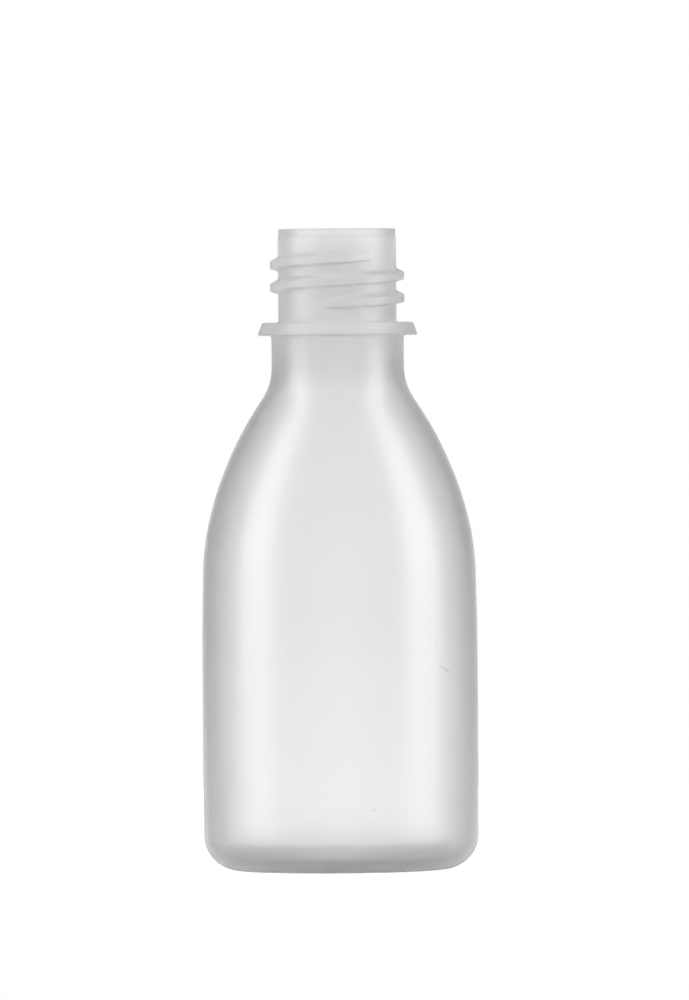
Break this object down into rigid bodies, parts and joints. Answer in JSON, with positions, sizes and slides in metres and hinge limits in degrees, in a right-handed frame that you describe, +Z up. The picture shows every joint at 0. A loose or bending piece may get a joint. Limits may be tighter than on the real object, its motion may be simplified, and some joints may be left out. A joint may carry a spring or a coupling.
{
  "type": "round narrow-mouth media bottle",
  "caption": "Small round translucent plastic media bottle, open, with an externally threaded narrow neck, a snap ring and a long sloping shoulder.",
  "frame": {"origin": "centre of the standing ring, on the plane that the bottle stands on", "axes": "+Z up along the bottle's axis, out of the mouth; -Y is the front, where the thread starts 35 degrees to the right"},
  "size_m": [0.0368, 0.0368, 0.0858],
  "materials": {
    "natural_ldpe": "natural low-density polyethylene, unpigmented, translucent and milky, with the soft satin skin of blow moulding"
  },
  "bodies": {
    "root": {"bottle": "natural_ldpe"}
  },
  "joints": []
}
